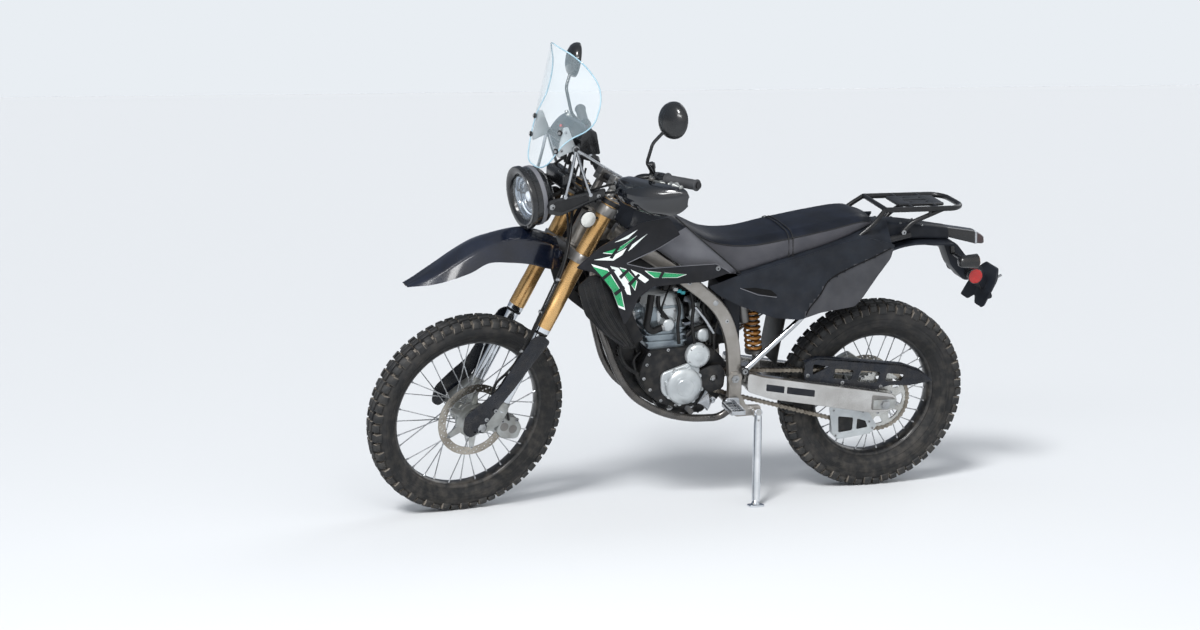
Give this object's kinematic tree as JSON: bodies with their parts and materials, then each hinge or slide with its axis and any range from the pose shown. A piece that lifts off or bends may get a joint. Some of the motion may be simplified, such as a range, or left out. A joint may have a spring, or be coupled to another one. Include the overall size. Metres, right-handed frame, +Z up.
{
  "type": "dual sport motorcycle",
  "caption": "Dual sport motorcycle leaning on its side stand, with knobby tyres, a round lamp, a small screen, hand guards and a tube rack behind the seat.",
  "frame": {"origin": "on the floor under the centre of the parked machine's box", "axes": "+X forward, +Y to the rider's left, +Z up; the machine leans 10 degrees to +Y"},
  "size_m": [2.2118, 0.8556, 1.5466],
  "materials": {
    "tyre_rubber": "matte, dusty",
    "rim_black": "satin black",
    "frame_silver": "satin silver grey",
    "frame_black": "satin black",
    "engine_black": "matte black casting",
    "engine_alloy": "cast, satin",
    "polished_alloy": "brushed",
    "steel": "satin",
    "exhaust_steel": "satin, heat tinted",
    "fork_gold": "anodised gold bronze",
    "fork_chrome": "polished",
    "spring_orange": "gloss",
    "chain_steel": "oiled",
    "panel_grey": "matte dark grey",
    "panel_black": "fine grain",
    "fender_navy": "satin navy black",
    "guard_gloss": "gloss black",
    "seat_cover": "vinyl, fine grain",
    "lamp_black": "satin black",
    "lamp_lens": "clear red",
    "screen_clear": "clear",
    "grip_rubber": "ribbed"
  },
  "bodies": {
    "chassis": {"frame": "frame_silver", "subframe": "frame_black", "crankcase": "engine_black", "engine_covers": "engine_alloy", "cylinder": "engine_alloy", "air_box": "panel_black", "exhaust": "exhaust_steel", "foot_controls": "steel", "swingarm": "polished_alloy", "rear_axle": "steel", "shock_absorber": "spring_orange", "chain": "chain_steel", "chain_guard": "panel_black", "rear_caliper": "engine_alloy", "seat": "seat_cover", "fuel_tank": "panel_grey", "shrouds": "panel_black", "side_panels": "panel_grey", "rear_fender": "panel_black", "rear_lamps": "lamp_lens", "rear_rack": "frame_black", "radiators": "engine_black"},
    "steering": {"fork_clamps": "engine_alloy", "fork_tubes": "fork_gold", "fork_legs": "fork_chrome", "front_axle": "steel", "fork_guards": "panel_black", "front_fender": "fender_navy", "headlamp": "lamp_black", "lamp_bracket": "frame_black", "instrument": "lamp_black", "windscreen": "screen_clear", "handlebar": "frame_black", "grips": "grip_rubber", "hand_guards": "guard_gloss", "mirrors": "lamp_black", "front_caliper": "engine_alloy"},
    "front_wheel": {"front_tyre": "tyre_rubber", "front_rim": "rim_black", "front_disc": "steel"},
    "rear_wheel": {"rear_tyre": "tyre_rubber", "rear_rim": "rim_black", "rear_disc": "steel", "rear_sprocket": "steel"},
    "side_stand": {"side_stand": "steel"}
  },
  "joints": [
    {"name": "steering", "type": "hinge", "parent": "chassis", "child": "steering", "pos_m": [0.38859, -0.05209, 0.95111], "axis": [-0.4472, 0.1551, 0.8809], "range_deg": [-56, 32]},
    {"name": "front_wheel_spin", "type": "hinge", "parent": "steering", "child": "front_wheel", "pos_m": [0.7642, -0.14766, 0.33705], "axis": [-0.1864, 0.9471, -0.2614], "continuous": true},
    {"name": "rear_wheel_spin", "type": "hinge", "parent": "chassis", "child": "rear_wheel", "pos_m": [-0.68465, -0.16163, 0.33246], "axis": [-0.0004, 0.9848, -0.1736], "continuous": true},
    {"name": "side_stand", "type": "hinge", "parent": "chassis", "child": "side_stand", "pos_m": [-0.21472, -0.02098, 0.3055], "axis": [0.1619, 0.9639, 0.2115], "range_deg": [0, 104]}
  ]
}
